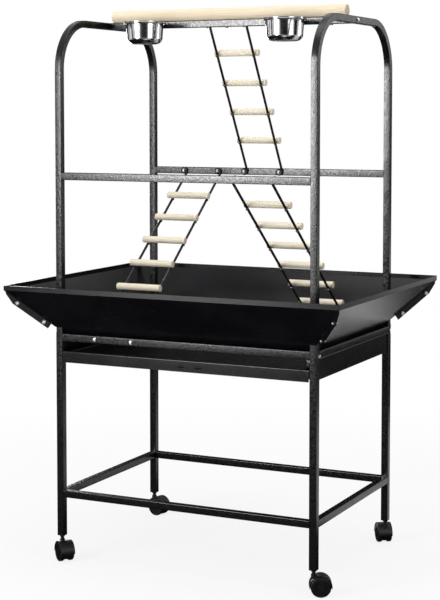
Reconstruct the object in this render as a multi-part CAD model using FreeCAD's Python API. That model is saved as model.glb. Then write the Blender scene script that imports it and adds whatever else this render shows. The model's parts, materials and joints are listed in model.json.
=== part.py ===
import FreeCAD, Part
import math
import os

os.makedirs("parts", exist_ok=True)
Vector = FreeCAD.Vector

# Frame: X to the right, Y to the back, Z up, floor at z = 0, origin midway between the four legs.

# ---- overall frame ----
frame_width = 650.0             # over the legs, along X
frame_depth = 469.0             # over the legs, along Y
leg_foot_height = 57.0          # floor to the open lower end of each leg
rail_top_height = 530.5         # top face of the rails that carry the tray
stretcher_top_height = 164.5    # top face of the four low stretchers
mid_rail_top_height = 902.3     # top face of the two rails across the hoops
hoop_top_height = 1254.7        # top face of the two hoops
frame_tube = 17.0               # square tube of the legs, rails and mid rails
stretcher_tube = 16.5
hoop_tube = 16.0                # square tube of the hoops and the perch rail
tube_wall = 1.2
tube_corner = 1.5               # outer corner radius of every square tube
inner_corner = 0.4              # corner radius of the hollow inside a tube
side_frame_bend = 25.0          # outer radius of the two bends of a side frame
hoop_bend = 117.0               # outer radius of the two bends of a hoop
end_plug_length = 12.0          # solid plug welded in each end of a bolted rail
spigot_length = 40.0            # stub on each corner that a hoop leg slides over
spigot_clearance = 0.15
post_block_rise = 3.0           # how far the corner block stands above the rails

# ---- fasteners ----
bolt_radius = 2.5
bolt_clearance = 0.05           # radial, around every shank
bolt_head_radius = 3.6
bolt_head_height = 2.8
head_rounding = 1.2
washer_radius = 4.4
washer_thickness = 1.0
nut_across_flats = 8.0
nut_height = 4.0
bolt_tail = 2.0                 # thread that shows past a nut
blind_depth = 5.0               # thread past the wall that it is tapped into
rung_screw_radius = 1.5
rung_screw_head_radius = 2.9
rung_screw_head_height = 1.8
rung_screw_depth = 9.0          # how deep a screw enters its rung
perch_screw_radius = 2.0
perch_screw_head_radius = 3.8
perch_screw_head_height = 2.4
perch_screw_depth = 14.0
perch_screw_inset = 38.0        # from the perch's ends to its outer screws
corner_bolt_inset = 11.5        # side frame bolts, in from the front faces
corner_bolt_drop = 11.0         # side frame bolts, down from the rails' top face
post_bolt_rise = 20.0           # hoop foot bolts, up from the corner blocks

# ---- drawer ----
drawer_side_gap = 16.0          # from the side frames' inner faces in to the drawer
drawer_wall_height = 21.3       # from the underside of the floor to the rolled edges
drawer_front_drop = 4.7         # how far the front hangs below the floor
drawer_front_gap = 1.5          # from the legs' inner faces in to the ends of the wide front
drawer_sheet = 1.2
drawer_hem = 2.2                # radius of the rolled top edges
finger_slot_length = 16.0
finger_slot_height = 4.0
finger_slot_rise = 10.5         # above the lower edge of the drawer's front
finger_slot_places = (0.0, 42.0)
runner_sheet = 1.2
runner_height = 45.5            # hangs this far below the side rails
runner_inset = 3.0              # runner web, in from the outer face of the side frame
runner_flange_overlap = 9.0     # how far the flange reaches under the drawer
runner_guide_height = 7.0
runner_guide_clearance = 1.2    # beside the drawer's side walls
runner_stop_height = 11.0

# ---- tray ----
guard_sheet = 1.2
guard_overhang = 85.75          # rim, out from the outer face of the frame
guard_base_inset = 13.5         # base line, in from the outer face of the frame
guard_lip_height = 11.0
guard_rise = 104.5              # from the base line to the foot of the lip
guard_ledge = 14.0              # inward ledge of the two side guards, under the grate
guard_foot = 3.0                # inward foot of the front and rear guards
guard_notch_clearance = 0.7     # around the corner blocks
seam_flange_width = 13.0
seam_flange_bite = 0.8          # how far a flange's root enters its guard
seam_flange_start = 5.0         # from the rim corner, along the seam
seam_flange_end = 37.9          # from the base corner, along the seam
seam_bolt_upper = 38.0          # from the flange's upper end
seam_bolt_lower = 17.0          # from the flange's lower end
grate_wire_radius = 1.5
grate_bar_radius = 2.0
grate_bite = 0.4                # wires sunk into the bars at the welds
grate_pitch = 12.7
grate_side_gap = 6.5            # from the base lines in to the outermost wires
grate_end_gap = 10.5            # from the rails' inner faces in to the ends of the wires
grate_bar_gap = 2.5             # from the base lines in to the ends of the bars
grate_bar_inset = 7.0           # outer bars, in from the ends of the wires
grate_bar_count = 5

# ---- ladders ----
ladder_rod_radius = 3.0
ladder_rod_spacing = 94.5
ladder_eye_radius = 6.25        # to the middle of the rod that forms the eye
ladder_bend = 8.0
ladder_foot_bend = 12.0
ladder_top_drop = 7.0           # straight end below an eye
rung_radius = 8.0
rung_length = 113.0
rung_gap = 0.05                 # between a rung and its rods
rung_step = 81.0
low_rung_start = 96.0           # first rung of a low ladder, down the rods
high_rung_start = 74.0
rung_end_room = 30.0            # least length of rod left below the last rung
left_ladder_middle = -168.4
right_ladder_middle = 164.7
high_ladder_middle = -1.0
ladder_foot_rise = 14.5         # above the rails, where the low ladders turn down
high_ladder_top_drop = 9.0

# ---- perch and cups ----
perch_radius = 14.3
perch_end_gap = 8.5             # from the hoops' inner faces to the perch's ends
perch_flat = 0.8                # depth of the flat that sits on the rail
perch_edge = 1.2                # rounding of the perch's two end edges
rung_edge = 0.8
cup_spacing = 356.0             # between the two cups, along X
cup_reach = 72.0                # cups, forward of the perch rail's middle
cup_height = 52.0
cup_rim_drop = 3.7              # below the top face of the perch rail
cup_rim_radius = 48.0
cup_wall_top_radius = 44.2
cup_wall_low_radius = 41.5
cup_floor_radius = 27.0
cup_sheet = 0.9
cup_kick = 2.0                  # dome pressed up in the cup's bottom
ring_wire_radius = 2.5
ring_clearance = 0.5            # between the cup's wall and its ring
cup_seat_gap = 0.3              # between the cup's lip and its ring
holder_plate_width = 42.0
holder_plate_height = 14.0
holder_plate_thickness = 3.0
holder_neck_width = 16.0
holder_neck_thickness = 5.0
holder_bolt_spacing = 28.0

# ---- casters ----
wheel_radius = 22.5
wheel_width = 10.0
wheel_edge = 2.5
wheel_dish_radius = 13.0
wheel_dish_depth = 1.6
wheel_cap_radius = 5.5
caster_trail = 15.0
caster_boss_radius = 6.0
caster_neck = 9.0               # bare stem between the boss and the leg
caster_web_inset = 3.0          # the web's edge, in from the treads
caster_side_gap = 0.5           # between the boss and each wheel
hood_gap = 0.7                  # between the treads and the hood
hood_thickness = 1.6
hood_skirt = 3.0                # how far the hood reaches below the axle
axle_radius = 2.5
axle_clearance = 0.05
stem_radius = 4.0
stem_clearance = 0.05
stem_seat_depth = 18.0          # how deep the stem sits in the boss
stem_reach = 27.0               # how far the stem goes up its socket
stem_collar_radius = 5.6
stem_collar_thickness = 3.5
socket_depth = 30.0
socket_clearance = 0.05
caster_turns = {"fl": -38.0, "fr": 26.0, "bl": -11.0, "br": 125.0}  # rest headings, degrees from +X

# ---- worked out from the sizes above ----
half_width = frame_width / 2
half_depth = frame_depth / 2
leg_x = half_width - frame_tube / 2
leg_y = half_depth - frame_tube / 2
rail_middle_height = rail_top_height - frame_tube / 2
rail_bottom_height = rail_top_height - frame_tube
mid_rail_middle_height = mid_rail_top_height - frame_tube / 2
rail_inner_y = half_depth - frame_tube
rail_inner_x = half_width - frame_tube
hoop_inner_x = leg_x - hoop_tube / 2
perch_length = 2 * (hoop_inner_x - perch_end_gap)
drawer_half_width = rail_inner_x - drawer_side_gap
drawer_front_half_width = rail_inner_x - drawer_front_gap
post_foot_height = rail_top_height + post_block_rise
perch_rail_middle_height = hoop_top_height - hoop_tube / 2
guard_rim_height = rail_top_height + guard_rise + guard_lip_height
guard_run = guard_base_inset + guard_overhang
guard_base_x = half_width - guard_base_inset
guard_base_y = half_depth - guard_base_inset
seam_length = math.sqrt(2 * guard_run ** 2 + guard_rise ** 2)
seam_flange_length = seam_length - seam_flange_start - seam_flange_end
seam_bolt_places = (seam_flange_start + seam_bolt_upper, seam_length - seam_flange_end - seam_bolt_lower)
runner_bottom_height = rail_bottom_height - runner_height
drawer_floor_height = runner_bottom_height + runner_sheet
drawer_front_top_height = drawer_floor_height + drawer_wall_height
drawer_front_bottom_height = drawer_floor_height - drawer_front_drop
drawer_back = rail_inner_y - runner_sheet
grate_half_width = guard_base_x - grate_side_gap
grate_half_depth = rail_inner_y - grate_end_gap
ladder_foot_height = rail_top_height + ladder_foot_rise
caster_boss_top_height = leg_foot_height - caster_neck
stem_seat_height = caster_boss_top_height - stem_seat_depth
stem_top_height = leg_foot_height + stem_reach
ring_radius = cup_wall_top_radius + ring_clearance + ring_wire_radius
cup_rim_height = hoop_top_height - cup_rim_drop
ring_height = cup_rim_height - cup_sheet - cup_seat_gap - ring_wire_radius
hood_radius = wheel_radius + hood_gap + hood_thickness
wheel_inner_face = caster_boss_radius + caster_side_gap
wheel_outer_face = wheel_inner_face + wheel_width
corner_signs = {"fl": (-1, -1), "fr": (1, -1), "bl": (-1, 1), "br": (1, 1)}


def box(x_low, x_high, y_low, y_high, z_low, z_high):
    return Part.makeBox(x_high - x_low, y_high - y_low, z_high - z_low, Vector(x_low, y_low, z_low))


def rod(start, end, radius):
    run = end - start
    return Part.makeCylinder(radius, run.Length, start, run)


def fuse_all(shapes):
    whole = shapes[0].multiFuse(shapes[1:])
    return whole.removeSplitter()


def cut_all(body, tools):
    for tool in tools:
        body = body.cut(tool)
    return body


def polygon_face(points):
    return Part.Face(Part.makePolygon(list(points) + [points[0]]))


def rounded_square(centre, across, up, size, corner):
    """Closed wire of a square with round corners, in the plane of the two unit vectors."""
    half = size / 2
    flat = half - corner
    edges = []
    first = across
    second = up
    for _ in range(4):
        low = centre + first * half - second * flat
        high = centre + first * half + second * flat
        middle = centre + (first + second) * (flat + corner * math.sqrt(0.5))
        turned = centre + first * flat + second * half
        edges.append(Part.LineSegment(low, high).toShape())
        edges.append(Part.Arc(high, middle, turned).toShape())
        first, second = second, first * -1
    return Part.Wire(edges)


def square_bar(start, end, across, up, size, corner):
    face = Part.Face(rounded_square(start, across, up, size, corner))
    return face.extrude(end - start)


def square_tube(start, end, across, up, size):
    outside = square_bar(start, end, across, up, size, tube_corner)
    inside = square_bar(start, end, across, up, size - 2 * tube_wall, inner_corner)
    return outside.cut(inside)


def corner_arc(before, corner, after, radius):
    """Start, middle and end of the arc that rounds the corner of a path."""
    back = (before - corner).normalize()
    ahead = (after - corner).normalize()
    half_angle = back.getAngle(ahead) / 2
    tangent = radius / math.tan(half_angle)
    inward = (back + ahead).normalize()
    centre = corner + inward * (radius / math.sin(half_angle))
    return corner + back * tangent, centre - inward * radius, corner + ahead * tangent


def rounded_path(points, radii):
    """Edges of straight runs joined by arcs; one radius for each inner point."""
    edges = []
    start = points[0]
    for index, radius in enumerate(radii):
        first, middle, last = corner_arc(points[index], points[index + 1], points[index + 2], radius)
        edges.append(Part.LineSegment(start, first).toShape())
        edges.append(Part.Arc(first, middle, last).toShape())
        start = last
    edges.append(Part.LineSegment(start, points[-1]).toShape())
    return edges


def bent_tube(x_middle, y_reach, foot_height, top_height, size, bend):
    """Upside-down U of square tube in a plane across X, open at both feet."""
    centre_top = top_height - size / 2
    corners = [
        Vector(x_middle, -y_reach, foot_height),
        Vector(x_middle, -y_reach, centre_top),
        Vector(x_middle, y_reach, centre_top),
        Vector(x_middle, y_reach, foot_height),
    ]
    path = Part.Wire(rounded_path(corners, [bend - size / 2] * 2))
    across = Vector(1, 0, 0)
    up = Vector(0, 1, 0)
    outside = path.makePipeShell([rounded_square(corners[0], across, up, size, tube_corner)], True, False)
    hollow = size - 2 * tube_wall
    inside = path.makePipeShell([rounded_square(corners[0], across, up, hollow, inner_corner)], True, False)
    return outside, inside


def round_edges(shape):
    return [edge for edge in shape.Edges if isinstance(edge.Curve, Part.Circle)]


def domed_head(seat, direction, radius, height, rounding):
    head = Part.makeCylinder(radius, height, seat, direction)
    crown = seat + direction * height
    top = min(round_edges(head), key=lambda edge: (edge.Curve.Center - crown).Length)
    return head.makeFillet(rounding, [top])


def bolt(seat, direction, reach):
    """Flanged bolt: seat is under the washer, direction points the way the shank goes."""
    outward = direction * -1
    washer = Part.makeCylinder(washer_radius, washer_thickness, seat, outward)
    crown = seat + outward * washer_thickness
    head = domed_head(crown, outward, bolt_head_radius, bolt_head_height, head_rounding)
    shank = Part.makeCylinder(bolt_radius, reach, seat, direction)
    return fuse_all([washer, head, shank])


def bolt_hole(seat, direction, reach):
    return Part.makeCylinder(bolt_radius + bolt_clearance, reach, seat, direction)


def nut(seat, direction):
    """Hexagon nut that stands on seat and faces along direction."""
    side = direction.cross(Vector(0, 0, 1)).normalize()
    other = direction.cross(side)
    corner_radius = nut_across_flats / 2 / math.cos(math.pi / 6)
    points = []
    for index in range(6):
        angle = index * math.pi / 3
        spoke = side * (corner_radius * math.cos(angle)) + other * (corner_radius * math.sin(angle))
        points.append(seat + spoke)
    body = polygon_face(points).extrude(direction * nut_height)
    return body.cut(bolt_hole(seat, direction, nut_height))


def screw(seat, direction, reach, radius, head_radius, head_height):
    head = domed_head(seat, direction * -1, head_radius, head_height, head_height / 2)
    shank = Part.makeCylinder(radius, reach, seat, direction)
    return head.fuse(shank)


def mirrored_x(shape):
    return shape.mirror(Vector(0, 0, 0), Vector(1, 0, 0))


# ---- where the bolts go ----

def corner_bolt_seats():
    """Outer faces of the side frames, where the front rail is bolted on."""
    seats = []
    for x_sign in (-1, 1):
        seat = Vector(x_sign * half_width, corner_bolt_inset - half_depth, rail_top_height - corner_bolt_drop)
        seats.append((seat, Vector(-x_sign, 0, 0)))
    return seats


def perch_rail_bolt_seats():
    seats = []
    for x_sign in (-1, 1):
        seat = Vector(x_sign * (leg_x + hoop_tube / 2), 0, perch_rail_middle_height)
        seats.append((seat, Vector(-x_sign, 0, 0)))
    return seats


def post_bolt_seats():
    """Inner faces of the hoop feet, bolted to the spigots inside them."""
    seats = []
    for x_sign in (-1, 1):
        for y_sign in (-1, 1):
            seat = Vector(x_sign * hoop_inner_x, y_sign * leg_y, post_foot_height + post_bolt_rise)
            seats.append((seat, Vector(x_sign, 0, 0)))
    return seats


rail_bolt_reach = frame_tube + end_plug_length - bolt_clearance
perch_rail_bolt_reach = hoop_tube + end_plug_length - bolt_clearance
post_bolt_reach = hoop_tube - 2 * tube_wall


def frame_bolts():
    bolts = [bolt(seat, way, rail_bolt_reach) for seat, way in corner_bolt_seats()]
    bolts += [bolt(seat, way, perch_rail_bolt_reach) for seat, way in perch_rail_bolt_seats()]
    bolts += [bolt(seat, way, post_bolt_reach) for seat, way in post_bolt_seats()]
    return Part.makeCompound(bolts)


def frame_bolt_holes():
    holes = [bolt_hole(seat, way, frame_tube + end_plug_length) for seat, way in corner_bolt_seats()]
    holes += [bolt_hole(seat, way, hoop_tube + end_plug_length) for seat, way in perch_rail_bolt_seats()]
    holes += [bolt_hole(seat, way, post_bolt_reach + bolt_clearance) for seat, way in post_bolt_seats()]
    return holes


# ---- lower frame ----

def spigot(x_sign, y_sign):
    """Block on a corner of a side frame, with the stub that a hoop leg slides over.
    The front blocks reach down over the bend, so that a front leg looks like one post."""
    across = Vector(1, 0, 0)
    up = Vector(0, 1, 0)
    foot_height = rail_top_height - side_frame_bend if y_sign < 0 else rail_middle_height
    foot = Vector(x_sign * leg_x, y_sign * leg_y, foot_height)
    top = Vector(foot.x, foot.y, post_foot_height)
    block = square_bar(foot, top, across, up, frame_tube, tube_corner)
    stub_size = hoop_tube - 2 * tube_wall - 2 * spigot_clearance
    tip = Vector(foot.x, foot.y, post_foot_height + spigot_length)
    stub = square_bar(top, tip, across, up, stub_size, inner_corner)
    return block, stub


def side_frame(x_sign):
    outside, inside = bent_tube(
        x_sign * leg_x, leg_y, leg_foot_height, rail_top_height, frame_tube, side_frame_bend
    )
    parts = [outside.cut(inside)]
    for y_sign in (-1, 1):
        block, stub = spigot(x_sign, y_sign)
        parts.append(block.cut(outside))
        parts.append(stub)
    return cut_all(fuse_all(parts), frame_bolt_holes())


def side_frame_envelope(x_sign):
    outside, _ = bent_tube(
        x_sign * leg_x, leg_y, leg_foot_height, rail_top_height, frame_tube, side_frame_bend
    )
    return outside


def cross_rail(y_sign, middle_height, inner_x, size, plugged):
    """Straight tube along X between two uprights; solid at its ends where it is bolted."""
    across = Vector(0, 1, 0)
    up = Vector(0, 0, 1)
    left = Vector(-inner_x, y_sign * leg_y, middle_height)
    right = Vector(inner_x, y_sign * leg_y, middle_height)
    tube = square_tube(left, right, across, up, size)
    if not plugged:
        return tube
    return fuse_all([tube] + end_plugs(left, right, across, up, size))


def end_plugs(left, right, across, up, size):
    plug_size = size - 2 * tube_wall
    inward = (right - left).normalize() * end_plug_length
    first = square_bar(left, left + inward, across, up, plug_size, inner_corner)
    second = square_bar(right - inward, right, across, up, plug_size, inner_corner)
    return [first, second]


def top_rail(y_sign):
    rail = cross_rail(y_sign, rail_middle_height, rail_inner_x, frame_tube, y_sign < 0)
    return cut_all(rail, frame_bolt_holes() + ladder_bolt_holes())


def mid_rail(y_sign):
    rail = cross_rail(y_sign, mid_rail_middle_height, hoop_inner_x, frame_tube, False)
    return cut_all(rail, ladder_bolt_holes())


def long_stretcher(y_sign):
    middle = stretcher_top_height - stretcher_tube / 2
    return cross_rail(y_sign, middle, rail_inner_x, stretcher_tube, False)


def short_stretcher(x_sign):
    middle = stretcher_top_height - stretcher_tube / 2
    front = Vector(x_sign * leg_x, -rail_inner_y, middle)
    rear = Vector(x_sign * leg_x, rail_inner_y, middle)
    return square_tube(front, rear, Vector(1, 0, 0), Vector(0, 0, 1), stretcher_tube)


def hoop(x_sign):
    outside, inside = bent_tube(
        x_sign * leg_x, leg_y, post_foot_height, hoop_top_height, hoop_tube, hoop_bend
    )
    return cut_all(outside.cut(inside), frame_bolt_holes())


# ---- drawer and its runners ----

def runner_profile():
    """Section of the right-hand runner across X and Z: web, flange and guide."""
    web_outer = half_width - runner_inset
    flange_top = runner_bottom_height + runner_sheet
    guide_inner = drawer_half_width + runner_guide_clearance
    web = (web_outer - runner_sheet, web_outer, runner_bottom_height, rail_bottom_height)
    flange = (drawer_half_width - runner_flange_overlap, web_outer, runner_bottom_height, flange_top)
    guide = (guide_inner, guide_inner + runner_sheet, runner_bottom_height, flange_top + runner_guide_height)
    return [web, flange, guide]


def drawer_runner_right():
    bars = []
    for x_low, x_high, z_low, z_high in runner_profile():
        bars.append(box(x_low, x_high, -rail_inner_y, rail_inner_y, z_low, z_high))
    bars.append(box(drawer_half_width - runner_flange_overlap, drawer_half_width, drawer_back, rail_inner_y,
                    runner_bottom_height, drawer_floor_height + runner_stop_height))
    return fuse_all(bars).cut(side_frame_envelope(1))


def drawer_tray():
    """Open pan with rolled top edges; its front fills the gap between the legs."""
    front = -half_depth
    inner_x = drawer_half_width - drawer_sheet
    hem_height = drawer_front_top_height - drawer_hem
    walls = [
        box(-drawer_half_width, drawer_half_width, front, drawer_back,
            drawer_floor_height, drawer_floor_height + drawer_sheet),
        box(-drawer_front_half_width, drawer_front_half_width, front, front + drawer_sheet,
            drawer_front_bottom_height, hem_height),
        box(-drawer_half_width, drawer_half_width, drawer_back - drawer_sheet, drawer_back,
            drawer_floor_height, hem_height),
        box(-drawer_half_width, -inner_x, front, drawer_back, drawer_floor_height, hem_height),
        box(inner_x, drawer_half_width, front, drawer_back, drawer_floor_height, hem_height),
    ]
    hem_x = drawer_half_width - drawer_hem
    hem_front = front + drawer_hem
    hem_back = drawer_back - drawer_hem
    hems = []
    for hem_y, half_length in ((hem_front, drawer_front_half_width), (hem_back, drawer_half_width)):
        left = Vector(-half_length, hem_y, hem_height)
        right = Vector(half_length, hem_y, hem_height)
        hems.append(rod(left, right, drawer_hem))
    for side_x in (-hem_x, hem_x):
        near = Vector(side_x, front, hem_height)
        far = Vector(side_x, drawer_back, hem_height)
        hems.append(rod(near, far, drawer_hem))
    pan = fuse_all(walls + hems)
    return cut_all(pan, [finger_slot(place) for place in finger_slot_places])


def finger_slot(place):
    middle = drawer_front_bottom_height + finger_slot_rise
    end_radius = finger_slot_height / 2
    straight = finger_slot_length / 2 - end_radius
    depth_low = -half_depth - drawer_sheet
    depth_high = -half_depth + 2 * drawer_sheet
    slot = box(place - straight, place + straight, depth_low, depth_high,
               middle - end_radius, middle + end_radius)
    for end_x in (place - straight, place + straight):
        slot = slot.fuse(rod(Vector(end_x, depth_low, middle), Vector(end_x, depth_high, middle), end_radius))
    return slot


# ---- tray: seed guards and grate ----

def sheet_section(points, thickness):
    """Closed outline of bent sheet: the given line and its parallel on the left-hand side."""
    count = len(points)
    normals = []
    for index in range(count - 1):
        run_u = points[index + 1][0] - points[index][0]
        run_v = points[index + 1][1] - points[index][1]
        length = math.hypot(run_u, run_v)
        normals.append((-run_v / length, run_u / length))
    offset = []
    for index in range(count):
        before = normals[max(index - 1, 0)]
        after = normals[min(index, count - 2)]
        scale = thickness / (1 + before[0] * after[0] + before[1] * after[1])
        u_place = points[index][0] + (before[0] + after[0]) * scale
        v_place = points[index][1] + (before[1] + after[1]) * scale
        offset.append((u_place, v_place))
    return list(points) + offset[::-1]


def seed_guard(base, edge_extra, foot):
    """Guard on the +X side: base is its base line's X; edge_extra is how much longer or
    shorter than that its half length is, so that its ends are cut at 45 degrees in plan."""
    rim = base + guard_run
    knee_height = guard_rim_height - guard_lip_height
    line = [
        (base - foot, rail_top_height),
        (base, rail_top_height),
        (rim, knee_height),
        (rim, guard_rim_height),
    ]
    outline = [Vector(u, 0, v) for u, v in sheet_section(line, guard_sheet)]
    reach = rim + abs(edge_extra) + frame_tube
    shift = Vector(0, -reach, 0)
    strip = polygon_face([point + shift for point in outline]).extrude(Vector(0, 2 * reach, 0))
    near = base - foot - guard_sheet
    far = rim + guard_sheet
    low = rail_top_height - guard_sheet
    plan = [
        Vector(near, -(near + edge_extra), low),
        Vector(far, -(far + edge_extra), low),
        Vector(far, far + edge_extra, low),
        Vector(near, near + edge_extra, low),
    ]
    mitre = polygon_face(plan).extrude(Vector(0, 0, guard_rim_height - low + guard_sheet))
    panel = strip.common(mitre)
    return fuse_all([panel, seam_flange(base, edge_extra, 1), seam_flange(base, edge_extra, -1)])


def seam_frame(base, edge_extra, y_sign):
    """Rim corner of a seam, the direction down along it and the direction square to it."""
    rim = base + guard_run
    corner = Vector(rim, y_sign * (rim + edge_extra), guard_rim_height - guard_lip_height)
    down = Vector(-guard_run, -y_sign * guard_run, -guard_rise).normalize()
    sideways = Vector(1, -y_sign, 0).normalize()
    square = down.cross(sideways).normalize()
    if square.z > 0:
        square = square * -1
    return corner, down, square, sideways


def seam_flange(base, edge_extra, y_sign):
    """Strip that hangs under a guard's slanted end, flat against its neighbour's strip."""
    corner, down, square, sideways = seam_frame(base, edge_extra, y_sign)
    start = corner + down * seam_flange_start
    end = start + down * seam_flange_length
    root = square * -seam_flange_bite
    edge = square * seam_flange_width
    outline = [start + root, end + root, end + edge, start + edge + down * seam_flange_width]
    plate = polygon_face(outline).extrude(sideways * guard_sheet)
    for place in seam_bolt_places:
        plate = plate.cut(seam_bolt_hole(base, edge_extra, y_sign, place))
    return plate


def seam_bolt_middle(base, edge_extra, y_sign, place):
    corner, down, square, sideways = seam_frame(base, edge_extra, y_sign)
    return corner + down * place + square * (seam_flange_width / 2), sideways


def seam_bolt_hole(base, edge_extra, y_sign, place):
    middle, sideways = seam_bolt_middle(base, edge_extra, y_sign, place)
    half = 2 * guard_sheet
    return bolt_hole(middle - sideways * half, sideways, 2 * half)


def post_notches():
    notches = []
    half = frame_tube / 2 + guard_notch_clearance
    for x_sign, y_sign in corner_signs.values():
        x_place = x_sign * leg_x
        y_place = y_sign * leg_y
        notches.append(box(x_place - half, x_place + half, y_place - half, y_place + half,
                           rail_bottom_height, guard_rim_height - guard_lip_height))
    return notches


def side_guard(x_sign):
    guard = seed_guard(guard_base_x, guard_base_y - guard_base_x, guard_ledge)
    if x_sign < 0:
        guard = mirrored_x(guard)
    return cut_all(guard, post_notches())


def long_guard(y_sign):
    guard = seed_guard(guard_base_y, guard_base_x - guard_base_y, guard_foot)
    guard.rotate(Vector(0, 0, 0), Vector(0, 0, 1), 90.0 * y_sign)
    return cut_all(guard, post_notches())


def seam_places():
    """Middle and outward direction of each seam bolt, all four corners."""
    extra = guard_base_y - guard_base_x
    places = []
    for x_sign, y_sign in corner_signs.values():
        for place in seam_bolt_places:
            middle, sideways = seam_bolt_middle(guard_base_x, extra, y_sign, place)
            middle = Vector(middle.x * x_sign, middle.y, middle.z)
            sideways = Vector(sideways.x * x_sign, sideways.y, 0)
            places.append((middle, sideways))
    return places


def seam_bolts():
    reach = 2 * guard_sheet + nut_height + bolt_tail
    return Part.makeCompound([
        bolt(middle - sideways * guard_sheet, sideways, reach) for middle, sideways in seam_places()
    ])


def seam_nuts():
    return Part.makeCompound([
        nut(middle + sideways * guard_sheet, sideways) for middle, sideways in seam_places()
    ])


def tray_grate():
    """Wire floor of the tray: wires along Y welded on bars along X."""
    bar_height = rail_top_height + guard_sheet + grate_bar_radius
    wire_height = bar_height + grate_bar_radius + grate_wire_radius - grate_bite
    bar_reach = guard_base_x - grate_bar_gap
    first_bar = grate_bar_inset - grate_half_depth
    bar_step = -2 * first_bar / (grate_bar_count - 1)
    pieces = []
    for index in range(grate_bar_count):
        y_place = first_bar + index * bar_step
        left = Vector(-bar_reach, y_place, bar_height)
        right = Vector(bar_reach, y_place, bar_height)
        pieces.append(rod(left, right, grate_bar_radius))
    steps = int(2 * grate_half_width / grate_pitch)
    pitch = 2 * grate_half_width / steps
    for index in range(steps + 1):
        x_place = -grate_half_width + index * pitch
        front = Vector(x_place, -grate_half_depth, wire_height)
        rear = Vector(x_place, grate_half_depth, wire_height)
        pieces.append(rod(front, rear, grate_wire_radius))
    return fuse_all(pieces)


# ---- ladders ----

def eye_edges(x_place, y_place, z_place, x_side, up_sign):
    """Three quarters of a ring in a plane across Y, from the rod round to its open end."""
    centre = Vector(x_place + x_side * ladder_eye_radius, y_place, z_place)
    along = Vector(x_side * ladder_eye_radius, 0, 0)
    rise = Vector(0, 0, up_sign * ladder_eye_radius)
    far_middle = centre + (along - rise) * math.sqrt(0.5)
    first = Part.Arc(centre - along, centre + rise, centre + along).toShape()
    second = Part.Arc(centre + along, far_middle, centre - rise).toShape()
    return [first, second]


def ladder_rod(x_place, x_side, line, lower_bend):
    """Rod from one eye to the other; line holds (y, z) of the eyes and of the corners between."""
    points = [Vector(x_place, y, z) for y, z in line]
    upper = line[0]
    lower = line[-1]
    top_eye = eye_edges(x_place, upper[0], upper[1], x_side, 1)
    low_eye = eye_edges(x_place, lower[0], lower[1], x_side, -1)
    edges = top_eye[::-1] + rounded_path(points, [ladder_bend, lower_bend]) + low_eye
    path = Part.Wire(Part.__sortEdges__(edges))
    start = Vector(x_place + x_side * ladder_eye_radius, upper[0], upper[1] - ladder_eye_radius)
    section = Part.Wire([Part.makeCircle(ladder_rod_radius, start, Vector(1, 0, 0))])
    return path.makePipeShell([section], True, False)


def low_ladder_line():
    """Eyes and corners of the left ladder's rods, as (y, z)."""
    y_rear = rail_inner_y - ladder_rod_radius
    upper = (y_rear, mid_rail_middle_height)
    upper_corner = (y_rear, mid_rail_middle_height - ladder_top_drop)
    lower_corner = (-y_rear, ladder_foot_height)
    lower = (-y_rear, rail_middle_height)
    return upper, upper_corner, lower_corner, lower


def high_ladder_line():
    """Eyes and corners of the upper ladder's rods, as (y, z)."""
    y_top = hoop_tube / 2 + ladder_rod_radius
    y_low = rail_inner_y - ladder_rod_radius
    upper = (y_top, perch_rail_middle_height)
    upper_corner = (y_top, perch_rail_middle_height - high_ladder_top_drop)
    lower_corner = (y_low, mid_rail_middle_height + ladder_top_drop)
    lower = (y_low, mid_rail_middle_height)
    return upper, upper_corner, lower_corner, lower


def ladder_parts(middle, line, start, lower_bend):
    """Rods, rungs and screws of one ladder that leans in a plane across X."""
    upper_corner, lower_corner = line[1:3]
    slope = Vector(0, lower_corner[0] - upper_corner[0], lower_corner[1] - upper_corner[1])
    count = int((slope.Length - start - rung_end_room) / rung_step) + 1
    slope.normalize()
    outward = slope.cross(Vector(1, 0, 0)).normalize()
    if outward.z < 0:
        outward = outward * -1
    origin = Vector(middle, upper_corner[0], upper_corner[1])
    rod_shift = Vector(ladder_rod_spacing / 2, 0, 0)
    rods = []
    for side in (-1, 1):
        x_place = middle + side * ladder_rod_spacing / 2
        rods.append(ladder_rod(x_place, -1, line, lower_bend))
    rungs = []
    screws = []
    for index in range(count):
        on_rods = origin + slope * (start + index * rung_step)
        centre = on_rods + outward * (ladder_rod_radius + rung_gap + rung_radius)
        half = Vector(rung_length / 2, 0, 0)
        rung = rod(centre - half, centre + half, rung_radius)
        rung = rung.makeFillet(rung_edge, round_edges(rung))
        for number, shift in enumerate((rod_shift * -1, rod_shift)):
            seat = on_rods + shift - outward * ladder_rod_radius
            reach = 2 * ladder_rod_radius + rung_gap + rung_screw_depth
            hole = Part.makeCylinder(rung_screw_radius + bolt_clearance, reach, seat, outward)
            rods[number] = rods[number].cut(hole)
            rung = rung.cut(hole)
            screws.append(screw(seat, outward, reach - bolt_clearance, rung_screw_radius,
                                rung_screw_head_radius, rung_screw_head_height))
        rungs.append(rung)
    return [Part.makeCompound(rods), Part.makeCompound(rungs), Part.makeCompound(screws)]


def left_ladder():
    return ladder_parts(left_ladder_middle, low_ladder_line(), low_rung_start, ladder_foot_bend)


def right_ladder():
    """The left ladder's twin, turned half a turn about Z, with its own place along X."""
    parts = ladder_parts(-right_ladder_middle, low_ladder_line(), low_rung_start, ladder_foot_bend)
    for part in parts:
        part.rotate(Vector(0, 0, 0), Vector(0, 0, 1), 180.0)
    return parts


def high_ladder():
    return ladder_parts(high_ladder_middle, high_ladder_line(), high_rung_start, ladder_bend)


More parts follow.
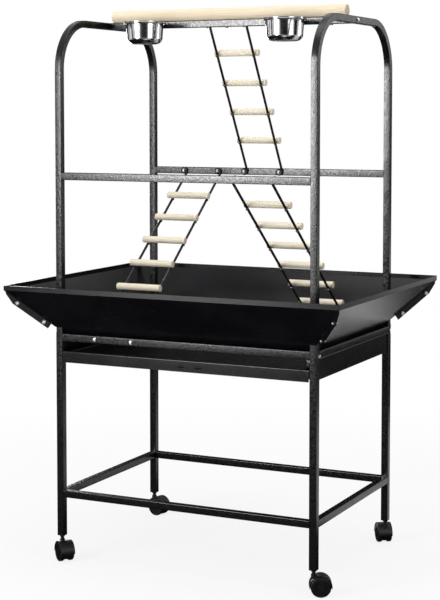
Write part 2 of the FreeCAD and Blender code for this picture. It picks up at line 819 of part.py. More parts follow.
def ladder_bolt_list():
    """Seat, direction and reach of each bolt through a ladder eye, and whether it has a nut."""
    eye = 2 * ladder_rod_radius
    blind = eye + tube_wall + blind_depth
    through = frame_tube + eye + nut_height + bolt_tail
    inner = rail_inner_y
    back = Vector(0, 1, 0)
    forward = Vector(0, -1, 0)
    bolts = []
    for side in (-1, 1):
        half = side * ladder_rod_spacing / 2
        left = left_ladder_middle + half - ladder_eye_radius
        right = right_ladder_middle + half + ladder_eye_radius
        high = high_ladder_middle + half - ladder_eye_radius
        bolts.append((Vector(left, inner - eye, mid_rail_middle_height), back, blind, False))
        bolts.append((Vector(high, inner - eye, mid_rail_middle_height), back, blind, False))
        bolts.append((Vector(right, eye - inner, mid_rail_middle_height), forward, blind, False))
        bolts.append((Vector(high, hoop_tube / 2 + eye, perch_rail_middle_height), forward, blind, False))
        bolts.append((Vector(left, -half_depth, rail_middle_height), back, through, True))
        bolts.append((Vector(right, half_depth, rail_middle_height), forward, through, True))
    return bolts


def ladder_bolts():
    return Part.makeCompound([bolt(seat, way, reach) for seat, way, reach, _ in ladder_bolt_list()])


def ladder_nuts():
    nuts = []
    for seat, way, _, has_nut in ladder_bolt_list():
        if has_nut:
            nuts.append(nut(seat + way * (frame_tube + 2 * ladder_rod_radius), way))
    return Part.makeCompound(nuts)


def ladder_bolt_holes():
    return [bolt_hole(seat, way, reach) for seat, way, reach, _ in ladder_bolt_list()]


# ---- perch, cups and their holders ----

def perch_screw_seats():
    height = perch_rail_middle_height - hoop_tube / 2
    reach = perch_length / 2 - perch_screw_inset
    return [Vector(x, 0, height) for x in (-reach, 0.0, reach)]


perch_screw_travel = hoop_tube + perch_screw_depth


def perch_screw_holes():
    radius = perch_screw_radius + bolt_clearance
    up = Vector(0, 0, 1)
    return [Part.makeCylinder(radius, perch_screw_travel, seat, up) for seat in perch_screw_seats()]


def perch_screws():
    up = Vector(0, 0, 1)
    reach = perch_screw_travel - bolt_clearance
    return Part.makeCompound([
        screw(seat, up, reach, perch_screw_radius, perch_screw_head_radius, perch_screw_head_height)
        for seat in perch_screw_seats()
    ])


def perch():
    middle = hoop_top_height - perch_flat + perch_radius
    half = Vector(perch_length / 2, 0, 0)
    centre = Vector(0, 0, middle)
    dowel = rod(centre - half, centre + half, perch_radius)
    dowel = dowel.makeFillet(perch_edge, round_edges(dowel))
    below = box(-perch_length, perch_length, -perch_radius, perch_radius,
                hoop_top_height - perch_radius, hoop_top_height)
    return cut_all(dowel.cut(below), perch_screw_holes())


def perch_rail():
    across = Vector(0, 1, 0)
    up = Vector(0, 0, 1)
    left = Vector(-hoop_inner_x, 0, perch_rail_middle_height)
    right = Vector(hoop_inner_x, 0, perch_rail_middle_height)
    tube = square_tube(left, right, across, up, hoop_tube)
    rail = fuse_all([tube] + end_plugs(left, right, across, up, hoop_tube))
    holes = frame_bolt_holes() + ladder_bolt_holes() + perch_screw_holes() + holder_bolt_holes()
    return cut_all(rail, holes)


def holder_bolt_list():
    reach = holder_plate_thickness + tube_wall + blind_depth
    seats = []
    for x_sign in (-1, 1):
        for side in (-1, 1):
            x_place = x_sign * cup_spacing / 2 + side * holder_bolt_spacing / 2
            seat = Vector(x_place, -hoop_tube / 2 - holder_plate_thickness, perch_rail_middle_height)
            seats.append((seat, Vector(0, 1, 0), reach))
    return seats


def holder_bolts():
    return Part.makeCompound([bolt(seat, way, reach) for seat, way, reach in holder_bolt_list()])


def holder_bolt_holes():
    return [bolt_hole(seat, way, reach) for seat, way, reach in holder_bolt_list()]


def cup_holder(x_sign):
    """Wire ring with a neck and a plate that is bolted to the perch rail's front face."""
    x_place = x_sign * cup_spacing / 2
    front = -hoop_tube / 2
    ring = Part.makeTorus(ring_radius, ring_wire_radius, Vector(x_place, -cup_reach, ring_height))
    plate_low = perch_rail_middle_height - holder_plate_height / 2
    plate = box(x_place - holder_plate_width / 2, x_place + holder_plate_width / 2,
                front - holder_plate_thickness, front, plate_low, plate_low + holder_plate_height)
    neck = box(x_place - holder_neck_width / 2, x_place + holder_neck_width / 2,
               ring_radius - cup_reach - ring_wire_radius / 2, front - holder_plate_thickness / 2,
               ring_height - holder_neck_thickness / 2, ring_height + holder_neck_thickness / 2)
    return cut_all(fuse_all([ring, plate, neck]), holder_bolt_holes())


def cup(x_sign):
    """Pressed bowl with a flat lip; round lower corner and a shallow dome in the bottom."""
    low = cup_rim_height - cup_height
    corner_rise = cup_wall_low_radius - cup_floor_radius
    diagonal = math.sqrt(0.5)
    lip_low = cup_rim_height - cup_sheet

    def corner(radius_out, height_low, shift):
        centre = Vector(cup_floor_radius, 0, height_low + corner_rise)
        reach = corner_rise - shift
        start = Vector(cup_floor_radius, 0, centre.z - reach)
        middle = Vector(centre.x + reach * diagonal, 0, centre.z - reach * diagonal)
        end = Vector(radius_out, 0, centre.z)
        return Part.Arc(start, middle, end)

    outer_corner = corner(cup_wall_low_radius, low, 0.0)
    inner_corner_arc = corner(cup_wall_low_radius - cup_sheet, low, cup_sheet)

    def dome(base):
        half_way = cup_kick * 3 / 4     # a shallow dome's height halfway out from its middle
        return Part.Arc(Vector(0, 0, base + cup_kick), Vector(cup_floor_radius / 2, 0, base + half_way),
                        Vector(cup_floor_radius, 0, base))

    dome_out = dome(low)
    dome_in = dome(low + cup_sheet)
    lip_inner = cup_wall_top_radius - cup_sheet
    wall = [
        Vector(cup_wall_low_radius, 0, low + corner_rise),
        Vector(cup_wall_top_radius, 0, lip_low),
        Vector(cup_rim_radius, 0, lip_low),
        Vector(cup_rim_radius, 0, cup_rim_height),
        Vector(lip_inner, 0, cup_rim_height),
        Vector(cup_wall_low_radius - cup_sheet, 0, low + corner_rise),
    ]
    lines = [Part.LineSegment(wall[index], wall[index + 1]) for index in range(len(wall) - 1)]
    axis_line = Part.LineSegment(Vector(0, 0, low + cup_kick), Vector(0, 0, low + cup_kick + cup_sheet))
    curves = [dome_out, outer_corner] + lines + [inner_corner_arc, dome_in, axis_line]
    outline = Part.Wire(Part.__sortEdges__([curve.toShape() for curve in curves]))
    bowl = Part.Face(outline).revolve(Vector(0, 0, 0), Vector(0, 0, 1), 360)
    bowl.translate(Vector(x_sign * cup_spacing / 2, -cup_reach, 0))
    return bowl


# ---- casters, built heading along +X about the swivel axis, then turned and moved ----

def place_caster(shape, corner):
    x_sign, y_sign = corner_signs[corner]
    shape.rotate(Vector(0, 0, 0), Vector(0, 0, 1), caster_turns[corner])
    shape.translate(Vector(x_sign * leg_x, y_sign * leg_y, 0))
    return shape


def caster_sockets():
    """Square inserts pushed into the open leg ends, bored for the caster stems."""
    size = frame_tube - 2 * tube_wall - 2 * socket_clearance
    sockets = []
    for x_sign, y_sign in corner_signs.values():
        foot = Vector(x_sign * leg_x, y_sign * leg_y, leg_foot_height)
        top = foot + Vector(0, 0, socket_depth)
        insert = square_bar(foot, top, Vector(1, 0, 0), Vector(0, 1, 0), size, inner_corner)
        bore = rod(foot, top, stem_radius + stem_clearance)
        sockets.append(insert.cut(bore))
    return Part.makeCompound(sockets)


def caster_stem(corner):
    stem = rod(Vector(0, 0, stem_seat_height), Vector(0, 0, stem_top_height), stem_radius)
    collar_low = leg_foot_height - stem_collar_thickness
    collar = rod(Vector(0, 0, collar_low), Vector(0, 0, leg_foot_height), stem_collar_radius)
    return place_caster(fuse_all([stem, collar]), corner)


def axle_middle():
    return Vector(caster_trail, 0, wheel_radius)


def cross_disc(radius, half_length):
    """Cylinder along Y, centred on the axle."""
    middle = axle_middle()
    half = Vector(0, half_length, 0)
    return rod(middle - half, middle + half, radius)


def caster_hood(corner):
    """Arched cover over both wheels, the web between them and the boss for the stem."""
    skirt_height = wheel_radius - hood_skirt
    below = box(-2 * hood_radius, 2 * hood_radius + caster_trail, -wheel_outer_face, wheel_outer_face,
                -wheel_radius, skirt_height)
    arch = cross_disc(hood_radius, wheel_outer_face)
    arch = arch.cut(cross_disc(wheel_radius + hood_gap, wheel_outer_face))
    web = cross_disc(hood_radius - hood_thickness / 2, caster_boss_radius)
    web_foot = cross_disc(wheel_radius - caster_web_inset, caster_boss_radius)
    boss = rod(Vector(0, 0, skirt_height), Vector(0, 0, caster_boss_top_height), caster_boss_radius)
    hood = fuse_all([arch.cut(below), web.cut(below), web_foot, boss])
    bore = rod(Vector(0, 0, stem_seat_height), Vector(0, 0, leg_foot_height), stem_radius + stem_clearance)
    axle_bore = cross_disc(axle_radius + axle_clearance, wheel_outer_face)
    return place_caster(cut_all(hood, [bore, axle_bore]), corner)


def caster_wheels(corner):
    """The two wheels of one caster, dished on their outer faces."""
    wheels = []
    for side in (-1, 1):
        middle = axle_middle()
        inner = middle + Vector(0, side * wheel_inner_face, 0)
        outer = middle + Vector(0, side * wheel_outer_face, 0)
        wheel = rod(inner, outer, wheel_radius)
        wheel = wheel.makeFillet(wheel_edge, round_edges(wheel))
        dish_floor = outer - Vector(0, side * wheel_dish_depth, 0)
        dish = rod(dish_floor, outer, wheel_dish_radius)
        cap = rod(dish_floor, outer, wheel_cap_radius)
        bore = rod(inner, dish_floor, axle_radius + axle_clearance)
        wheels.append(cut_all(wheel, [dish.cut(cap), bore]))
    return place_caster(Part.makeCompound(wheels), corner)


def caster_axle(corner):
    half = wheel_outer_face - wheel_dish_depth
    return place_caster(cross_disc(axle_radius, half), corner)


def build():
    nodes = {
        "side_frame_left": side_frame(-1),
        "side_frame_right": side_frame(1),
        "front_top_rail": top_rail(-1),
        "rear_top_rail": top_rail(1),
        "stretcher_front": long_stretcher(-1),
        "stretcher_rear": long_stretcher(1),
        "stretcher_left": short_stretcher(-1),
        "stretcher_right": short_stretcher(1),
        "drawer_runner_left": mirrored_x(drawer_runner_right()),
        "drawer_runner_right": drawer_runner_right(),
        "drawer_tray": drawer_tray(),
        "tray_grate": tray_grate(),
        "seed_guard_front": long_guard(-1),
        "seed_guard_rear": long_guard(1),
        "seed_guard_left": side_guard(-1),
        "seed_guard_right": side_guard(1),
        "seed_guard_bolts": seam_bolts(),
        "seed_guard_nuts": seam_nuts(),
        "hoop_left": hoop(-1),
        "hoop_right": hoop(1),
        "mid_rail_front": mid_rail(-1),
        "mid_rail_rear": mid_rail(1),
        "perch_rail": perch_rail(),
        "perch": perch(),
        "perch_screws": perch_screws(),
        "cup_holder_left": cup_holder(-1),
        "cup_holder_right": cup_holder(1),
        "cup_holder_bolts": holder_bolts(),
        "cup_left": cup(-1),
        "cup_right": cup(1),
        "frame_bolts": frame_bolts(),
        "ladder_bolts": ladder_bolts(),
        "ladder_nuts": ladder_nuts(),
        "caster_sockets": caster_sockets(),
    }
    for name, parts in (("left", left_ladder()), ("right", right_ladder()), ("upper", high_ladder())):
        for piece, shape in zip(("rods", "rungs", "screws"), parts):
            nodes["ladder_" + name + "_" + piece] = shape
    for corner in corner_signs:
        nodes["caster_stem_" + corner] = caster_stem(corner)
        nodes["caster_hood_" + corner] = caster_hood(corner)
        nodes["caster_axle_" + corner] = caster_axle(corner)
        nodes["caster_wheels_" + corner] = caster_wheels(corner)
    return nodes


def main():
    for name, shape in build().items():
        shape.exportStep("parts/" + name + ".step")
        volume = sum(solid.Volume for solid in shape.Solids)
        state = "valid" if shape.isValid() else "BAD"
        print(name, len(shape.Solids), "solids", round(volume / 1000, 2), "cm3", state)


main()
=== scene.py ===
import json
import math
import bmesh
import bpy
from mathutils import Matrix, Vector


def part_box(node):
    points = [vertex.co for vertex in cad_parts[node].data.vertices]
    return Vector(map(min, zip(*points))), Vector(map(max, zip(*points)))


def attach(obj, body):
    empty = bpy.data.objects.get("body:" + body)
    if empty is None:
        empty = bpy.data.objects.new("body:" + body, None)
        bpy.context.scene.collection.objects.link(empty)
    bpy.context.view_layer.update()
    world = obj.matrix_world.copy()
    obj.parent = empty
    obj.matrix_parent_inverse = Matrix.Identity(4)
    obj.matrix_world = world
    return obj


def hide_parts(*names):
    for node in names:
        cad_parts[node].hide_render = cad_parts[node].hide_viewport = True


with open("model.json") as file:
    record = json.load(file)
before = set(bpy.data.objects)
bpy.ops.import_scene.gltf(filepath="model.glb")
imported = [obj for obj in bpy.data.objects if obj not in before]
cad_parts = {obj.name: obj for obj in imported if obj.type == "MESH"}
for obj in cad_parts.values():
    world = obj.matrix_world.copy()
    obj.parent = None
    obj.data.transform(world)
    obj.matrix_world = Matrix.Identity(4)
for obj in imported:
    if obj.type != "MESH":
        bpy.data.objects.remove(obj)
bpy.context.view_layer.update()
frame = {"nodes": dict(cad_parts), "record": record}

scene = bpy.context.scene
print("frame loaded:", len(frame["nodes"]), "nodes")


# Wraps a socket, so that sums and products in plain expressions become Math nodes
class Wire:
    def __init__(self, tree, socket=None):
        self.tree = tree
        self.socket = socket

    def node(self, kind, settings=None, inputs=None, out=0):
        made = self.tree.nodes.new("ShaderNode" + kind)
        for name, value in (settings or {}).items():
            setattr(made, name, value)
        for name, value in (inputs or {}).items():
            if isinstance(value, Wire):
                self.tree.links.new(value.socket, made.inputs[name])
            else:
                made.inputs[name].default_value = value
        return Wire(self.tree, made.outputs[out])

    def maths(self, operation, first, second):
        return self.node("Math", {"operation": operation}, {0: first, 1: second})

    def __add__(self, other):
        return self.maths("ADD", self, other)

    def __sub__(self, other):
        return self.maths("SUBTRACT", self, other)

    def __rsub__(self, other):
        return self.maths("SUBTRACT", other, self)

    def __mul__(self, other):
        return self.maths("MULTIPLY", self, other)

    __radd__ = __add__
    __rmul__ = __mul__

    # 0 below low, 1 above high, smooth between
    def step(self, low, high):
        return self.node("MapRange", {"interpolation_type": "SMOOTHSTEP"},
                         {"Value": self, "From Min": low, "From Max": high})

    def noise(self, place, scale, detail=2.0, roughness=0.5):
        return self.node("TexNoise", {}, {"Vector": place, "Scale": scale, "Detail": detail,
                                          "Roughness": roughness})

    def stretched(self, place, factors):
        return self.node("VectorMath", {"operation": "MULTIPLY"}, {0: place, 1: factors})

    def blend(self, amount, first, second):
        return self.node("Mix", {"data_type": "RGBA"}, {0: amount, 6: first, 7: second}, out=2)

    def bump(self, height, depth):
        return self.node("Bump", {}, {"Height": height, "Distance": depth, "Strength": 1.0})


def startMaterial(name, constants):
    material = bpy.data.materials.new(name)
    material.use_nodes = True
    tree = material.node_tree
    shader = tree.nodes["Principled BSDF"]
    for socketName, value in constants.items():
        shader.inputs[socketName].default_value = value
    wire = Wire(tree)
    place = wire.node("TexCoord", out=3)    # Object coordinates
    return material, shader, wire, place


def feed(wire, shader, colour, roughness, normal):
    for socketName, value in (("Base Color", colour), ("Roughness", roughness), ("Normal", normal)):
        wire.tree.links.new(value.socket, shader.inputs[socketName])


def grey(level, tint=0.0):
    return (level, level, level + tint, 1.0)


# Square tubes: black powder coat with a hammered speckle
powderLook = {
    "dark": grey(0.0030, 0.0003),
    "pale": grey(0.0070, 0.0005),
    "specular": 0.24,
    "blotch": 140.0,            # blotches about 7 mm across
    "blotchEdge": (0.42, 0.62),
    "hammer": 420.0,            # dimples about 2.4 mm across
    "fine": 924.0,
    "blotchHeight": 0.9,
    "dimpleHeight": 0.45,
    "fineHeight": 0.3,
    "depth": 0.00022,
    "roughPale": 0.16,
    "roughDark": 0.27,
}


def hammeredCoat():
    look = powderLook
    material, shader, wire, place = startMaterial(
        "hammeredCoat", {"Specular IOR Level": look["specular"]})
    blotch = wire.noise(place, look["blotch"], detail=3.0, roughness=0.6)
    dimple = wire.node("TexVoronoi", {"feature": "SMOOTH_F1"},
                       {"Vector": place, "Scale": look["hammer"]})
    fine = wire.noise(place, look["fine"])
    height = (blotch * look["blotchHeight"] + dimple * look["dimpleHeight"]
              + fine * look["fineHeight"])
    patch = blotch.step(*look["blotchEdge"])
    feed(wire, shader,
         colour=wire.blend(patch, look["dark"], look["pale"]),
         roughness=look["roughPale"] + (look["roughDark"] - look["roughPale"]) * (1.0 - patch),
         normal=wire.bump(height, look["depth"]))
    return material


# Guards, drawer and runners: smooth black coat on sheet, with faint clouds and scuffs
sheetLook = {
    "dark": grey(0.0030, 0.0010),
    "pale": grey(0.0050, 0.0016),
    "specular": 0.16,
    "cloud": 9.0,               # slow change of tone over the sheets
    "cloudEdge": (0.35, 0.65),
    "scuffStretch": (6.0, 60.0, 60.0),
    "scuff": 6.0,
    "scuffEdge": (0.60, 0.78),
    "peel": 520.0,              # orange peel about 2 mm across
    "peelDepth": 0.00004,
    "rough": 0.19,
    "cloudRough": 0.07,
    "scuffRough": 0.12,
}


def smoothCoat():
    look = sheetLook
    material, shader, wire, place = startMaterial(
        "smoothCoat", {"Specular IOR Level": look["specular"]})
    cloud = wire.noise(place, look["cloud"], detail=3.0, roughness=0.55)
    peel = wire.noise(place, look["peel"])
    marks = wire.noise(wire.stretched(place, look["scuffStretch"]), look["scuff"],
                       detail=4.0, roughness=0.65)
    scuff = marks.step(*look["scuffEdge"])
    feed(wire, shader,
         colour=wire.blend(cloud.step(*look["cloudEdge"]), look["dark"], look["pale"]),
         roughness=look["rough"] + cloud * look["cloudRough"] + scuff * look["scuffRough"],
         normal=wire.bump(peel, look["peelDepth"]))
    return material


# Ladder rods, grate wires and caster stems
rodLook = {
    "dark": grey(0.0030, 0.0003),
    "pale": grey(0.0060, 0.0004),
    "specular": 0.20,
    "grain": 600.0,
    "grainEdge": (0.4, 0.7),
    "depth": 0.00003,
    "rough": 0.36,
    "grainRough": 0.16,
}


def rodPaint():
    look = rodLook
    material, shader, wire, place = startMaterial(
        "rodPaint", {"Specular IOR Level": look["specular"]})
    grain = wire.noise(place, look["grain"])
    feed(wire, shader,
         colour=wire.blend(grain.step(*look["grainEdge"]), look["dark"], look["pale"]),
         roughness=look["rough"] + grain * look["grainRough"],
         normal=wire.bump(grain, look["depth"]))
    return material


perchLook = {
    "light": (0.81, 0.70, 0.53, 1.0),
    "dark": (0.66, 0.54, 0.38, 1.0),
    "pore": (0.42, 0.31, 0.20, 1.0),
    "end": (0.60, 0.48, 0.33, 1.0),
    "along": 3.0,               # the grain is long in X, along the dowels
    "across": 150.0,
}
rungLook = {
    "light": (0.88, 0.81, 0.66, 1.0),
    "dark": (0.72, 0.63, 0.48, 1.0),
    "pore": (0.50, 0.40, 0.28, 1.0),
    "end": (0.62, 0.52, 0.38, 1.0),
    "along": 4.0,
    "across": 190.0,
}
# What the perch and the rungs share
grainLook = {
    "specular": 0.15,
    "streakEdge": (0.34, 0.72),
    "streakShare": 0.55,
    "broadStretch": (1.5, 22.0, 22.0),
    "broadEdge": (0.35, 0.7),
    "broadShare": 0.35,
    "poreStretch": (30.0, 900.0, 900.0),
    "poreEdge": (0.64, 0.74),
    "poreShare": 0.45,
    "poreDepth": 0.6,
    "endEdge": (0.5, 0.9),
    "endShare": 0.55,
    "depth": 0.00018,
    "rough": 0.52,
    "streakRough": 0.18,
}


def paleWood(name, look):
    grain = grainLook
    material, shader, wire, place = startMaterial(
        name, {"Specular IOR Level": grain["specular"]})
    streakPlace = wire.stretched(place, (look["along"], look["across"], look["across"]))
    streak = wire.noise(streakPlace, 2.0, detail=4.0, roughness=0.6)
    broad = wire.noise(wire.stretched(place, grain["broadStretch"]), 2.0)
    pore = wire.noise(wire.stretched(place, grain["poreStretch"]), 1.0).step(*grain["poreEdge"])
    facing = wire.node("NewGeometry", out=1)    # the surface's own normal
    alongGrain = wire.node("SeparateXYZ", {}, {0: facing})
    ends = (alongGrain * alongGrain).step(*grain["endEdge"])
    darker = (streak.step(*grain["streakEdge"]) * grain["streakShare"]
              + broad.step(*grain["broadEdge"]) * grain["broadShare"])
    sides = wire.blend(pore * grain["poreShare"],
                       wire.blend(darker, look["light"], look["dark"]), look["pore"])
    feed(wire, shader,
         colour=wire.blend(ends * grain["endShare"], sides, look["end"]),
         roughness=grain["rough"] + streak * grain["streakRough"],
         normal=wire.bump(streak - pore * grain["poreDepth"], grain["depth"]))
    return material


cupLook = {"bright": grey(0.50), "dull": grey(0.38), "rings": 900.0}
holderLook = {"bright": grey(0.24), "dull": grey(0.14), "rings": 300.0}
# What the cups and their holders share: fine rings from spinning and polishing
polishLook = {
    "ringStretch": 4.0,
    "ringDepth": 0.00001,
    "cloud": 40.0,
    "cloudEdge": (0.4, 0.7),
    "rough": 0.09,
    "ringRough": 0.08,
    "cloudRough": 0.05,
}


def polishedSteel(name, look):
    polish = polishLook
    material, shader, wire, place = startMaterial(name, {"Metallic": 1.0})
    ringPlace = wire.stretched(place, (polish["ringStretch"], polish["ringStretch"], look["rings"]))
    rings = wire.noise(ringPlace, 1.0)
    cloud = wire.noise(place, polish["cloud"], detail=3.0, roughness=0.6)
    feed(wire, shader,
         colour=wire.blend(cloud.step(*polish["cloudEdge"]), look["bright"], look["dull"]),
         roughness=polish["rough"] + rings * polish["ringRough"] + cloud * polish["cloudRough"],
         normal=wire.bump(rings, polish["ringDepth"]))
    return material


# Painted shade: the small heads on the upper part are given a darker colour than those on the tray
zincLook = {
    "bright": grey(0.48),
    "dull": grey(0.30),
    # the painted shade colour, for heads above the height limit
    "dark": grey(0.10),
    "paintedShadeAbove": 0.7,
}
# Painted highlight: a lighter copy of the same zinc, for the frame bolts
paintedHighlightZincLook = {
    "bright": grey(0.72),
    "dull": grey(0.50),
    "dark": grey(0.50),
    "paintedShadeAbove": 9.0,           # higher than the stand, so none of these is dark
}
# What the zinc and its lighter copy, a painted highlight, share
platingLook = {
    "cloud": 300.0,
    "cloudEdge": (0.35, 0.7),
    "fade": 0.02,
    "depth": 0.00002,
    "rough": 0.16,
    "cloudRough": 0.16,
    "darkRough": 0.14,
}


def zincSteel(name, look):
    plating = platingLook
    material, shader, wire, place = startMaterial(name, {"Metallic": 1.0})
    cloud = wire.noise(place, plating["cloud"], detail=3.0, roughness=0.6)
    # Painted shade: heads above the height limit take the dark colour and extra roughness
    height = wire.node("SeparateXYZ", {}, {0: place}, out=2)
    above = height.step(look["paintedShadeAbove"], look["paintedShadeAbove"] + plating["fade"])
    plain = wire.blend(cloud.step(*plating["cloudEdge"]), look["bright"], look["dull"])
    feed(wire, shader,
         colour=wire.blend(above, plain, look["dark"]),
         roughness=(plating["rough"] + cloud * plating["cloudRough"]
                    + above * plating["darkRough"]),
         normal=wire.bump(cloud, plating["depth"]))
    return material


nylonLook = {
    "dark": grey(0.0035),
    "pale": grey(0.0070),
    "specular": 0.22,
    "grain": 900.0,
    "grainDepth": 0.00004,
    "cloud": 60.0,
    "cloudEdge": (0.35, 0.7),
    "rough": 0.34,
    "cloudRough": 0.16,
}


def blackNylon():
    look = nylonLook
    material, shader, wire, place = startMaterial(
        "blackNylon", {"Specular IOR Level": look["specular"]})
    grain = wire.noise(place, look["grain"])
    cloud = wire.noise(place, look["cloud"])
    feed(wire, shader,
         colour=wire.blend(cloud.step(*look["cloudEdge"]), look["dark"], look["pale"]),
         roughness=look["rough"] + cloud * look["cloudRough"],
         normal=wire.bump(grain, look["grainDepth"]))
    return material


finishes = {
    "powder_coat": hammeredCoat(),
    "smooth_coat": smoothCoat(),
    "black_rod": rodPaint(),
    "pale_wood": paleWood("perchWood", perchLook),
    "polished_steel": polishedSteel("cupSteel", cupLook),
    "zinc_steel": zincSteel("zincSteel", zincLook),
    "black_nylon": blackNylon(),
}
slotOf = {part["node"]: part["material_slot"] for part in frame["record"]["subparts"]}
# Pieces whose finish differs from the others of their slot
rungWood = paleWood("rungWood", rungLook)
holderSteel = polishedSteel("holderSteel", holderLook)
ownFinish = {
    "ladder_left_rungs": rungWood,
    "ladder_right_rungs": rungWood,
    "ladder_upper_rungs": rungWood,
    "cup_holder_left": holderSteel,
    "cup_holder_right": holderSteel,
    # painted highlight: the frame bolts use the lighter copy of the zinc
    "frame_bolts": zincSteel("paintedHighlightZinc", paintedHighlightZincLook),
}


def finishOf(nodeName):
    return ownFinish.get(nodeName, finishes[slotOf[nodeName]])


def dress(piece, finish):
    piece.data.materials.clear()
    piece.data.materials.append(finish)


for nodeName, node in frame["nodes"].items():
    dress(node, finishOf(nodeName))
print("finishes made and given to every node")

bodyOf = {member: bodyName
          for bodyName, members in frame["record"]["behaviour"]["bodies"].items()
          for member in members}

smoothLook = {
    "weldDistance": 0.00001,
    "sharpAngle": math.radians(32.0),
}


# A copy whose triangles share corners, so that curved faces shade smoothly
def smoothCopy(nodeName, shape=None):
    mesh = frame["nodes"][nodeName].data.copy()
    mesh.name = nodeName + "_smooth"
    bm = bmesh.new()
    bm.from_mesh(mesh)
    bmesh.ops.remove_doubles(bm, verts=bm.verts, dist=smoothLook["weldDistance"])
    if shape:
        shape(bm)
    for face in bm.faces:
        face.smooth = True
    for edge in bm.edges:
        edge.smooth = (not edge.is_manifold
                       or edge.calc_face_angle() < smoothLook["sharpAngle"])
    bm.to_mesh(mesh)
    bm.free()
    if "custom_normal" in mesh.attributes:
        mesh.attributes.remove(mesh.attributes["custom_normal"])
    piece = bpy.data.objects.new(nodeName + "_smooth", mesh)
    scene.collection.objects.link(piece)
    dress(piece, finishOf(nodeName))
    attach(piece, bodyOf[nodeName])
    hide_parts(nodeName)
    return piece


guardNodes = ("seed_guard_front", "seed_guard_rear", "seed_guard_left", "seed_guard_right")
guardLook = {
    "lipHeight": 0.011,
    "run": 0.09925,             # the guards lean out this far
    "rise": 0.1045,             # over this height
    "stripWidth": 0.013,
    "taperLength": 0.036,       # along the seam, from the rim corner to the full width
    "cornerGap": 0.0001,        # keeps the cut clear of the lip
    "reach": 0.001,             # a corner this near a guard belongs to it
    "cutTolerance": 0.000001,
}


# Cuts a guard's seam strips, so that they narrow towards the rim's corners
def taperStrips(bm):
    look = guardLook
    left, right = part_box("seed_guard_left"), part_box("seed_guard_right")
    front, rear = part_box("seed_guard_front"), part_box("seed_guard_rear")
    kneeHeight = front[1][2] - look["lipHeight"]
    lowX = min(v.co.x for v in bm.verts) - look["reach"]
    highX = max(v.co.x for v in bm.verts) + look["reach"]
    lowY = min(v.co.y for v in bm.verts) - look["reach"]
    highY = max(v.co.y for v in bm.verts) + look["reach"]
    for sideX, xPlace in ((-1, left[0][0]), (1, right[1][0])):
        for sideY, yPlace in ((-1, front[0][1]), (1, rear[1][1])):
            if not (lowX < xPlace < highX and lowY < yPlace < highY):
                continue
            corner = Vector((xPlace, yPlace, kneeHeight))
            down = Vector((-sideX * look["run"], -sideY * look["run"], -look["rise"])).normalized()
            sideways = Vector((sideX, -sideY, 0.0)).normalized()
            square = down.cross(sideways)
            if square.z > 0:
                square.negate()
            edge = down * look["taperLength"] + square * look["stripWidth"]
            outwards = edge.cross(sideways)
            if outwards.z > 0:
                outwards.negate()
            cut = bmesh.ops.bisect_plane(
                bm, geom=bm.verts[:] + bm.edges[:] + bm.faces[:], dist=look["cutTolerance"],
                plane_co=corner + square * look["cornerGap"], plane_no=outwards, clear_outer=True)
            openEdges = [item for item in cut["geom_cut"] if isinstance(item, bmesh.types.BMEdge)]
            bmesh.ops.contextual_create(bm, geom=openEdges)


for nodeName in frame["nodes"]:
    smoothCopy(nodeName, taperStrips if nodeName in guardNodes else None)
print("smooth copies stand in for the nodes")

stageLook = {
    "floorSize": 60.0,
    "floorCells": 8,
    "floorColour": grey(0.90),
    "whiteShare": 0.84,         # how much of the floor is plain white to the camera
    "fade": (0.8, 2.0),         # from here to here it becomes all white
    "ambient": 0.48,
}


# 1 for the rays that should see the white background, 0 for the others
def whiteForCamera(wire):
    rays = wire.node("LightPath").socket.node.outputs
    camera, glossy, through = [Wire(wire.tree, rays[name]) for name in
                               ("Is Camera Ray", "Is Glossy Ray", "Is Transmission Ray")]
    return wire.maths("MINIMUM", camera + glossy + through, 1.0)


def makeFloor():
    bm = bmesh.new()
    bmesh.ops.create_grid(bm, x_segments=stageLook["floorCells"],
                          y_segments=stageLook["floorCells"], size=stageLook["floorSize"] / 2)
    mesh = bpy.data.meshes.new("floor")
    bm.to_mesh(mesh)
    bm.free()
    floor = bpy.data.objects.new("floor", mesh)
    scene.collection.objects.link(floor)
    material = bpy.data.materials.new("paleFloor")
    material.use_nodes = True
    tree = material.node_tree
    tree.nodes.remove(tree.nodes["Principled BSDF"])
    wire = Wire(tree)
    place = wire.node("TexCoord", out=3)
    distance = wire.node("VectorMath", {"operation": "LENGTH"}, {0: place}, out=1)
    share = (stageLook["whiteShare"]
             + (1.0 - stageLook["whiteShare"]) * distance.step(*stageLook["fade"]))
    pale = wire.node("BsdfDiffuse", {}, {"Color": stageLook["floorColour"]})
    white = wire.node("Emission", {}, {"Color": grey(1.0), "Strength": 1.0})
    mixed = wire.node("MixShader", {}, {0: share * whiteForCamera(wire), 1: pale, 2: white})
    tree.links.new(mixed.socket, tree.nodes["Material Output"].inputs["Surface"])
    mesh.materials.append(material)


def makeWorld():
    world = bpy.data.worlds.new("studio")
    scene.world = world
    world.use_nodes = True
    tree = world.node_tree
    wire = Wire(tree)
    strength = stageLook["ambient"] + (1.0 - stageLook["ambient"]) * whiteForCamera(wire)
    background = tree.nodes["Background"]
    background.inputs["Color"].default_value = grey(1.0)
    tree.links.new(strength.socket, background.inputs["Strength"])


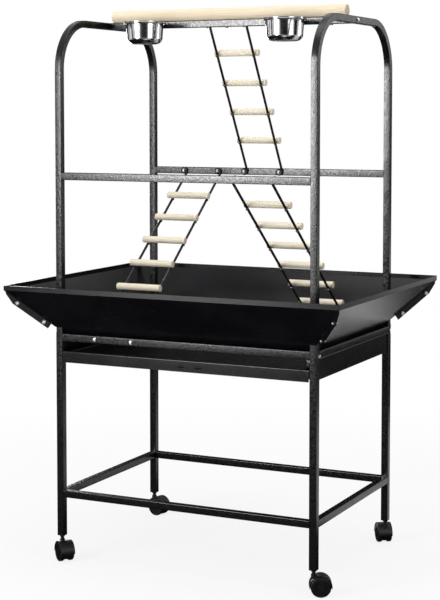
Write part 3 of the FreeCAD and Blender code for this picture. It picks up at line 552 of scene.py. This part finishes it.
lampLook = {
    # name: place, size across and up, watts, whether it lights, whether it shows in gloss
    "glossStrip": ((-1.22, -2.9, 1.42), (0.80, 1.48), 185.0, False, True),
    "glossLow": ((-1.22, -2.9, 0.29), (0.80, 0.18), 7.0, False, True),
    "glossBack": ((1.75, 3.5, 1.65), (1.3, 0.9), 5.0, False, True),
    "glossLeft": ((-2.95, -1.1, 1.05), (0.4, 1.7), 5.0, False, True),
    "glossRight": ((2.45, -1.95, 1.05), (0.4, 1.7), 6.0, False, True),
    "glossRearRight": ((2.5, 1.7, 1.05), (0.4, 1.7), 24.0, False, True),
    "glossRearLeft": ((-2.2, 2.2, 1.05), (0.5, 1.7), 34.0, False, True),
    "frontKey": ((-1.6, -3.2, 1.9), (1.4, 1.4), 62.0, True, False),
    "rightFill": ((3.2, -1.6, 1.4), (1.2, 1.8), 26.0, True, True),
    "overhead": ((0.2, -0.2, 3.4), (2.4, 2.0), 42.0, True, True),
}
aimPoint = Vector((0.0, 0.0, 0.9))


def makeLamps():
    for name, (place, size, watts, lights, shines) in lampLook.items():
        data = bpy.data.lights.new(name, "AREA")
        data.shape = "RECTANGLE"
        data.size, data.size_y = size
        data.energy = watts
        lamp = bpy.data.objects.new(name, data)
        lamp.location = place
        lamp.rotation_euler = (aimPoint - Vector(place)).to_track_quat("-Z", "Y").to_euler()
        lamp.visible_diffuse = lights
        lamp.visible_glossy = shines
        lamp.visible_camera = False
        scene.collection.objects.link(lamp)


# Black cards that only reflections see: they keep the coats dark and band the polished cups
standingCards = {
    # name: bearing from the front, distance, width, height, foot
    "cardFront": (21.0, 4.2, 3.7, 3.0, 0.35),
    "cardLeft": (-66.0, 3.9, 1.6, 3.2, 0.2),
    "cardRight": (92.0, 3.9, 1.6, 3.2, 0.2),
    "cardBackRight": (170.0, 4.8, 3.3, 3.0, 0.35),
    "cardBack": (207.0, 4.8, 3.3, 3.0, 0.35),
    "cardBackLeft": (245.0, 4.8, 3.3, 3.0, 0.35),
}
lyingCards = {
    # name: lowest and highest x, lowest and highest y
    "cardFloorLeft": ((-4.0, 0.3), (-4.2, 0.3)),
    "cardFloorFarRight": ((0.3, 3.2), (-4.2, -2.2)),
    "cardFloorNearRight": ((0.3, 3.2), (-0.9, 0.3)),
    "cardFloorBackLeft": ((-4.0, -0.1), (0.3, 1.75)),
    "cardFloorBack": ((-4.0, 3.2), (1.62, 4.6)),
}
cardLook = {
    "colour": grey(0.01),
    "lyingHeight": 0.004,       # just above the floor
}


def makeCard(name, width, height, place, material):
    bm = bmesh.new()
    bmesh.ops.create_grid(bm, x_segments=1, y_segments=1, size=0.5)
    bmesh.ops.scale(bm, vec=(width, height, 1.0), verts=bm.verts)
    bmesh.ops.transform(bm, matrix=place, verts=bm.verts)
    mesh = bpy.data.meshes.new(name)
    bm.to_mesh(mesh)
    bm.free()
    mesh.materials.append(material)
    card = bpy.data.objects.new(name, mesh)
    scene.collection.objects.link(card)
    card.visible_camera = False
    card.visible_diffuse = False
    card.visible_shadow = False


def makeCards():
    material = bpy.data.materials.new("blackCard")
    material.use_nodes = True
    shader = material.node_tree.nodes["Principled BSDF"]
    shader.inputs["Base Color"].default_value = cardLook["colour"]
    shader.inputs["Specular IOR Level"].default_value = 0.0
    upright = Matrix.Rotation(math.radians(90.0), 4, "X")
    for name, (bearing, distance, width, height, foot) in standingCards.items():
        angle = math.radians(bearing)
        middle = Vector((math.sin(angle) * distance, -math.cos(angle) * distance,
                         height / 2 + foot))
        place = Matrix.Translation(middle) @ Matrix.Rotation(angle, 4, "Z") @ upright
        makeCard(name, width, height, place, material)
    for name, (spanX, spanY) in lyingCards.items():
        middle = Vector((sum(spanX) / 2, sum(spanY) / 2, cardLook["lyingHeight"]))
        makeCard(name, spanX[1] - spanX[0], spanY[1] - spanY[0],
                 Matrix.Translation(middle), material)


cameraLook = {
    "place": (1.55575, -3.24003, 1.03967),
    "turn": (math.radians(86.37), 0.0, math.radians(25.9)),
    "lens": 92.18,
    "sensor": 36.0,
    "shiftUp": -0.15,
}


def makeCamera():
    data = bpy.data.cameras.new("camera")
    data.lens = cameraLook["lens"]
    data.sensor_width = cameraLook["sensor"]
    data.shift_y = cameraLook["shiftUp"]
    camera = bpy.data.objects.new("camera", data)
    camera.location = cameraLook["place"]
    camera.rotation_euler = cameraLook["turn"]
    scene.collection.objects.link(camera)
    scene.camera = camera


makeFloor()
makeWorld()
makeLamps()
makeCards()
makeCamera()
scene.view_settings.view_transform = "Standard"
print("stage, lamps and camera are set")
